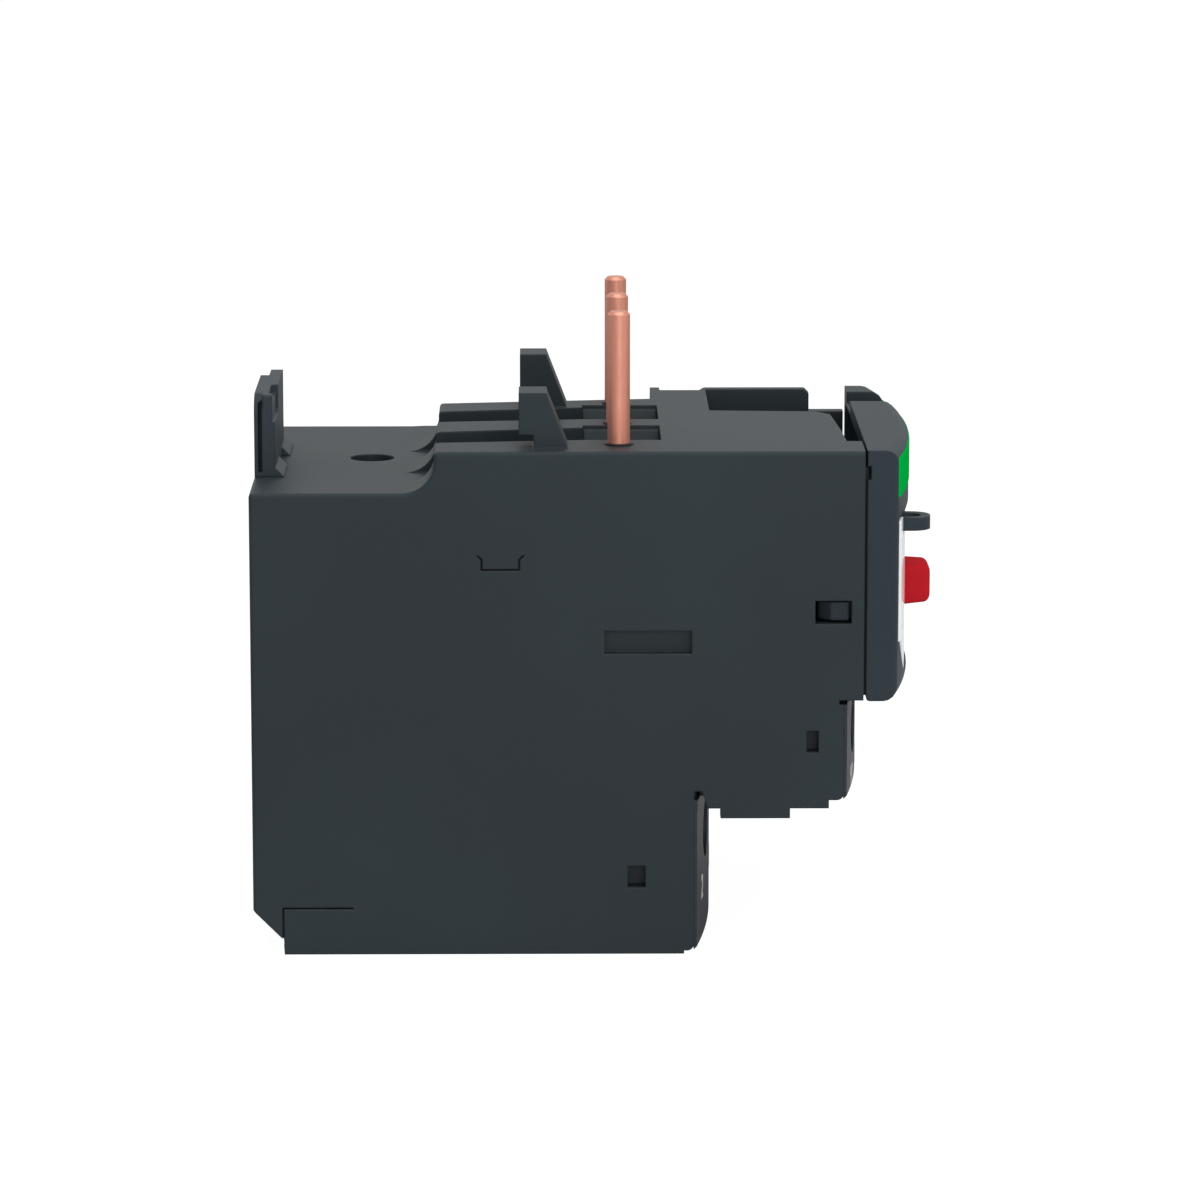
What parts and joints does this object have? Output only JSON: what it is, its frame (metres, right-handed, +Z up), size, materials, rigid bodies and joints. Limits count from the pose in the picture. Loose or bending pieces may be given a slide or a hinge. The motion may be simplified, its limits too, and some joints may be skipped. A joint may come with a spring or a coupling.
{
  "type": "thermal overload relay",
  "caption": "Three-pole thermal overload relay that plugs under a contactor, with screw terminals, setting dial, stop and reset buttons and a clear flap.",
  "frame": {"origin": "centre of the bounding box in X and Y, on its bottom face in Z", "axes": "+Z up along the plug-in pins, the operating front faces -Y, X to the right when facing the front"},
  "size_m": [0.045, 0.071, 0.066],
  "materials": {
    "housing": "fine moulded texture",
    "block": "fine moulded texture",
    "cover": "fine moulded texture",
    "plate": "smooth",
    "clear": "clear polycarbonate",
    "red": "satin",
    "blue": "satin",
    "dial": "smooth",
    "white_part": "smooth",
    "inner_dark": "smooth",
    "slider": "pressed board",
    "steel": "zinc plated",
    "screw": "zinc plated",
    "copper": "plain copper alloy",
    "bimetal": "rolled strip",
    "heater": "glass sleeve with ribbon",
    "spring": "drawn wire",
    "contact": "plated contact strip"
  },
  "bodies": {
    "housing": {"housing_case": "housing", "load_terminal_block": "block", "aux_terminal_block": "block", "bottom_plate": "housing", "rear_hook": "housing", "front_cover": "cover", "setting_plate": "plate", "mechanism_frame": "inner_dark", "lever_pivot_pin": "steel", "load_terminal_1": "copper", "contact_pin_1": "copper", "bimetal_strip_1": "bimetal", "heater_winding_1": "heater", "load_terminal_2": "copper", "contact_pin_2": "copper", "bimetal_strip_2": "bimetal", "heater_winding_2": "heater", "load_terminal_3": "copper", "contact_pin_3": "copper", "bimetal_strip_3": "bimetal", "heater_winding_3": "heater", "aux_terminal_1": "contact", "aux_terminal_2": "contact", "aux_terminal_3": "contact", "aux_terminal_4": "contact"},
    "load_clamp_1": {"load_clamp_1": "steel"},
    "load_screw_1": {"load_screw_1": "screw"},
    "load_clamp_2": {"load_clamp_2": "steel"},
    "load_screw_2": {"load_screw_2": "screw"},
    "load_clamp_3": {"load_clamp_3": "steel"},
    "load_screw_3": {"load_screw_3": "screw"},
    "aux_clamp_1": {"aux_clamp_1": "steel"},
    "aux_screw_1": {"aux_screw_1": "screw"},
    "aux_clamp_2": {"aux_clamp_2": "steel"},
    "aux_screw_2": {"aux_screw_2": "screw"},
    "aux_clamp_3": {"aux_clamp_3": "steel"},
    "aux_screw_3": {"aux_screw_3": "screw"},
    "aux_clamp_4": {"aux_clamp_4": "steel"},
    "aux_screw_4": {"aux_screw_4": "screw"},
    "flap": {"clear_flap": "clear"},
    "dial": {"current_dial": "dial", "setting_cam": "inner_dark"},
    "stop": {"stop_button": "red", "stop_spring": "spring"},
    "reset": {"reset_button": "blue", "reset_spring": "spring"},
    "selector": {"reset_selector": "dial"},
    "test": {"test_slide": "white_part"},
    "slider": {"slider_bar": "slider"},
    "differential": {"differential_bar": "slider"},
    "lever": {"trip_lever": "inner_dark", "compensating_blade": "bimetal"},
    "bridge": {"contact_bridge": "inner_dark", "contact_blades": "contact"},
    "flag": {"trip_flag": "white_part"}
  },
  "joints": [
    {"name": "load_clamp_1_slide", "type": "slide", "parent": "housing", "child": "load_clamp_1", "axis": [0, 1, 0], "range_m": [0, 0.0044]},
    {"name": "load_screw_1_turn", "type": "hinge", "parent": "load_clamp_1", "child": "load_screw_1", "pos_m": [-0.014, -0.0085, 0.0115], "axis": [0, 1, 0], "range_deg": [0, 2263]},
    {"name": "load_clamp_2_slide", "type": "slide", "parent": "housing", "child": "load_clamp_2", "axis": [0, 1, 0], "range_m": [0, 0.0044]},
    {"name": "load_screw_2_turn", "type": "hinge", "parent": "load_clamp_2", "child": "load_screw_2", "pos_m": [0, -0.0085, 0.0115], "axis": [0, 1, 0], "range_deg": [0, 2263]},
    {"name": "load_clamp_3_slide", "type": "slide", "parent": "housing", "child": "load_clamp_3", "axis": [0, 1, 0], "range_m": [0, 0.0044]},
    {"name": "load_screw_3_turn", "type": "hinge", "parent": "load_clamp_3", "child": "load_screw_3", "pos_m": [0.014, -0.0085, 0.0115], "axis": [0, 1, 0], "range_deg": [0, 2263]},
    {"name": "aux_clamp_1_slide", "type": "slide", "parent": "housing", "child": "aux_clamp_1", "axis": [0, 1, 0], "range_m": [0, 0.004]},
    {"name": "aux_screw_1_turn", "type": "hinge", "parent": "aux_clamp_1", "child": "aux_screw_1", "pos_m": [-0.0153, -0.0215, 0.0227], "axis": [0, 1, 0], "range_deg": [0, 2880]},
    {"name": "aux_clamp_2_slide", "type": "slide", "parent": "housing", "child": "aux_clamp_2", "axis": [0, 1, 0], "range_m": [0, 0.004]},
    {"name": "aux_screw_2_turn", "type": "hinge", "parent": "aux_clamp_2", "child": "aux_screw_2", "pos_m": [-0.0051, -0.0215, 0.0227], "axis": [0, 1, 0], "range_deg": [0, 2880]},
    {"name": "aux_clamp_3_slide", "type": "slide", "parent": "housing", "child": "aux_clamp_3", "axis": [0, 1, 0], "range_m": [0, 0.004]},
    {"name": "aux_screw_3_turn", "type": "hinge", "parent": "aux_clamp_3", "child": "aux_screw_3", "pos_m": [0.0051, -0.0215, 0.0227], "axis": [0, 1, 0], "range_deg": [0, 2880]},
    {"name": "aux_clamp_4_slide", "type": "slide", "parent": "housing", "child": "aux_clamp_4", "axis": [0, 1, 0], "range_m": [0, 0.004]},
    {"name": "aux_screw_4_turn", "type": "hinge", "parent": "aux_clamp_4", "child": "aux_screw_4", "pos_m": [0.0153, -0.0215, 0.0227], "axis": [0, 1, 0], "range_deg": [0, 2880]},
    {"name": "flap_hinge", "type": "hinge", "parent": "housing", "child": "flap", "pos_m": [-0.0012, -0.03184, 0.03705], "axis": [0, 0, 1], "range_deg": [0, 95]},
    {"name": "dial_turn", "type": "hinge", "parent": "housing", "child": "dial", "pos_m": [-0.0096, -0.0245, 0.0363], "axis": [0, 1, 0], "range_deg": [-135, 135]},
    {"name": "stop_press", "type": "slide", "parent": "housing", "child": "stop", "axis": [0, 1, 0], "range_m": [0, 0.0022], "stiffness_N_per_m": 600, "springref_m": -0.002, "deforming": ["stop_spring"]},
    {"name": "reset_press", "type": "slide", "parent": "housing", "child": "reset", "axis": [0, 1, 0], "range_m": [0, 0.0025], "stiffness_N_per_m": 600, "springref_m": -0.002, "deforming": ["reset_spring"]},
    {"name": "selector_turn", "type": "hinge", "parent": "housing", "child": "selector", "pos_m": [0.0146, -0.0245, 0.0324], "axis": [0, 1, 0], "range_deg": [0, 90]},
    {"name": "test_push", "type": "slide", "parent": "housing", "child": "test", "axis": [1, 0, 0], "range_m": [0, 0.002], "stiffness_N_per_m": 300, "springref_m": -0.002},
    {"name": "slider_travel", "type": "slide", "parent": "housing", "child": "slider", "axis": [1, 0, 0], "range_m": [0, 0.002], "stiffness_N_per_m": 400, "springref_m": -0.001},
    {"name": "differential_travel", "type": "slide", "parent": "housing", "child": "differential", "axis": [1, 0, 0], "range_m": [0, 0.002]},
    {"name": "lever_swing", "type": "hinge", "parent": "housing", "child": "lever", "pos_m": [0.0166, -0.0069, 0.0413], "axis": [0, 0, 1], "range_deg": [-5.6, 0]},
    {"name": "bridge_travel", "type": "slide", "parent": "housing", "child": "bridge", "axis": [-1, 0, 0], "range_m": [0, 0.0011]},
    {"name": "flag_travel", "type": "slide", "parent": "housing", "child": "flag", "axis": [-1, 0, 0], "range_m": [0, 0.0016]}
  ],
  "couplings": [
    {"joint": "load_screw_1_turn", "follows": "load_clamp_1_slide", "rad_per_m": 8976},
    {"joint": "load_screw_2_turn", "follows": "load_clamp_2_slide", "rad_per_m": 8976},
    {"joint": "load_screw_3_turn", "follows": "load_clamp_3_slide", "rad_per_m": 8976},
    {"joint": "aux_screw_1_turn", "follows": "aux_clamp_1_slide", "rad_per_m": 12566},
    {"joint": "aux_screw_2_turn", "follows": "aux_clamp_2_slide", "rad_per_m": 12566},
    {"joint": "aux_screw_3_turn", "follows": "aux_clamp_3_slide", "rad_per_m": 12566},
    {"joint": "aux_screw_4_turn", "follows": "aux_clamp_4_slide", "rad_per_m": 12566},
    {"joint": "differential_travel", "follows": "slider_travel", "ratio": 1},
    {"joint": "lever_swing", "follows": "slider_travel", "rad_per_m": -47.2},
    {"joint": "bridge_travel", "follows": "slider_travel", "ratio": 0.5425},
    {"joint": "flag_travel", "follows": "slider_travel", "ratio": 0.8}
  ]
}
